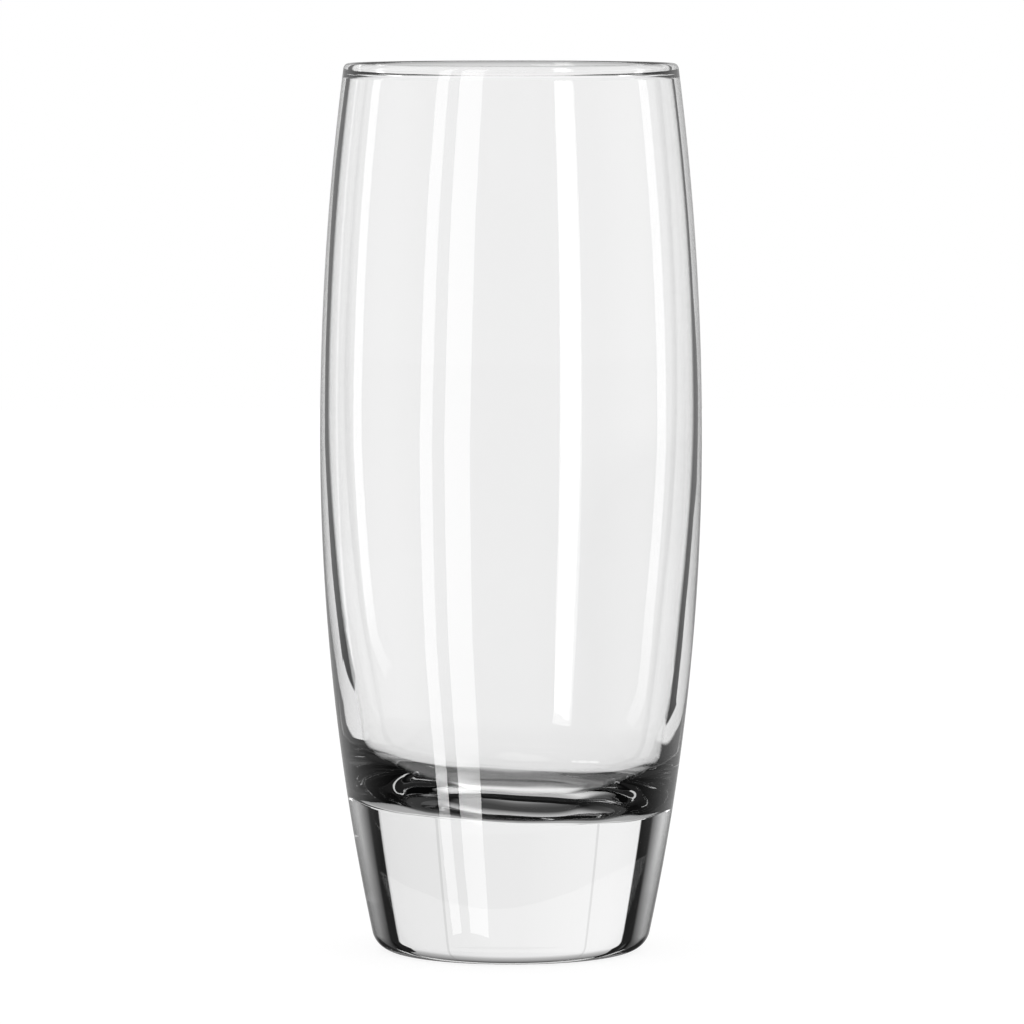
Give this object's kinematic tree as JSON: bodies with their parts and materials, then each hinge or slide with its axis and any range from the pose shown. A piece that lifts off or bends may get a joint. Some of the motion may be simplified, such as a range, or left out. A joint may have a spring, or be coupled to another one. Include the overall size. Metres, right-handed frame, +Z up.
{
  "type": "highball glass",
  "caption": "Tall barrel-shaped drinking glass in clear glass, with a thin rounded lip, sides that taper to a smaller foot and a thick solid base, for long iced drinks.",
  "frame": {"origin": "centre of the foot, on the surface that the glass stands on", "axes": "+Z up along the axis of the glass, towards its mouth; X and Y are alike, because the glass is round"},
  "size_m": [0.0666, 0.0666, 0.155],
  "materials": {
    "clear_glass": "clear, polished soda-lime glass with a fire-polished lip"
  },
  "bodies": {
    "root": {"tumbler": "clear_glass"}
  },
  "joints": []
}
